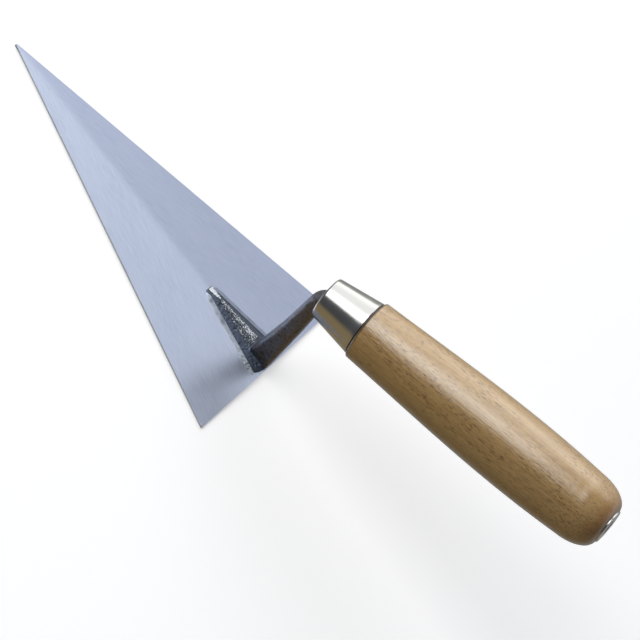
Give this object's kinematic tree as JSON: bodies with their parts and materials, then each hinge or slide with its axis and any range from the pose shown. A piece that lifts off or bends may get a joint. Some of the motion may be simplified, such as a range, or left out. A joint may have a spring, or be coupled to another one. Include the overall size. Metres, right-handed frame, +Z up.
{
  "type": "triangular pointing trowel",
  "caption": "Hand trowel with a flat triangular steel blade, a forged gooseneck shank, a polished ferrule and a turned wooden handle, for spreading and pointing mortar.",
  "frame": {"origin": "underside of the blade, at the middle of its rear edge", "axes": "+X runs back from the point of the blade towards the butt of the handle, +Z up from the blade's underside, +Y to the side"},
  "size_m": [0.3173, 0.1056, 0.1179],
  "materials": {
    "blade_steel": "satin",
    "forged_steel": "satin",
    "weld_steel": "satin",
    "bright_plate": "polished",
    "beech": "gloss"
  },
  "bodies": {
    "root": {"blade": "blade_steel", "shank": "forged_steel", "weld_left": "weld_steel", "weld_right": "weld_steel", "ferrule": "bright_plate", "handle": "beech", "butt_washer": "bright_plate"}
  },
  "joints": []
}
